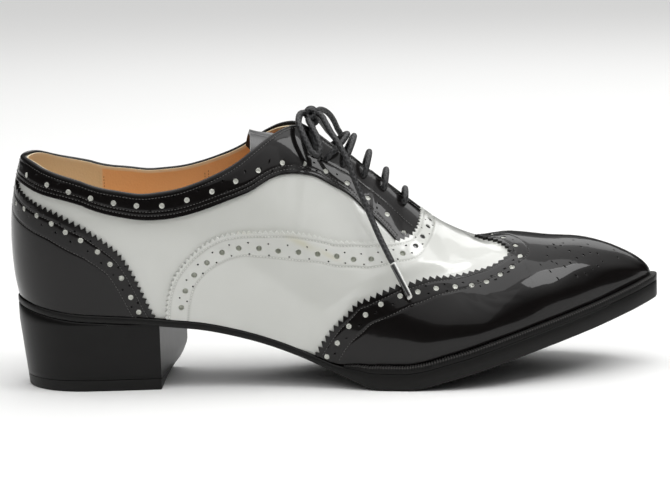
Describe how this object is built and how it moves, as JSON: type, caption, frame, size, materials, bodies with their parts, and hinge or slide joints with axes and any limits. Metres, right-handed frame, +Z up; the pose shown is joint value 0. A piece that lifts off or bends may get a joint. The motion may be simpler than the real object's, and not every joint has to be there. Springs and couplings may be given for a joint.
{
  "type": "spectator shoe",
  "caption": "Pointed two-tone brogue oxford with a wing tip, a laced throat, a welted sole and a low block heel.",
  "frame": {"origin": "on the floor, below the middle of the shoe's box without the bow", "axes": "+X from heel to toe, +Y to the inner side of this right shoe, +Z up"},
  "size_m": [0.2768, 0.0888, 0.1179],
  "materials": {
    "white_patent": "off-white patent",
    "black_patent": "black patent",
    "tan_leather": "smooth, semi-matte",
    "black_rubber": "matte",
    "heel_leather": "black edge dressing, satin",
    "black_cotton": "waxed round cord",
    "clear_plastic": "clear sleeve over black cord"
  },
  "bodies": {
    "root": {"outsole": "black_rubber", "welt": "heel_leather", "heel_block": "heel_leather", "heel_top_piece": "black_rubber", "insole": "tan_leather", "upper": "white_patent", "tongue": "black_patent", "vamp": "white_patent", "wing_tip": "black_patent", "heel_counter": "black_patent", "collar_band": "black_patent", "facing_lateral": "black_patent", "facing_medial": "black_patent", "lace_bar_1": "black_cotton", "lace_bar_2": "black_cotton", "lace_bar_3": "black_cotton", "lace_bar_4": "black_cotton", "lace_bar_5": "black_cotton", "lace_bar_6": "black_cotton", "lace_knot": "black_cotton", "lace_loop_lateral": "black_cotton", "lace_loop_medial": "black_cotton", "lace_end_lateral": "black_cotton", "lace_end_medial": "black_cotton", "aglet_lateral": "clear_plastic", "aglet_medial": "clear_plastic"}
  },
  "joints": []
}
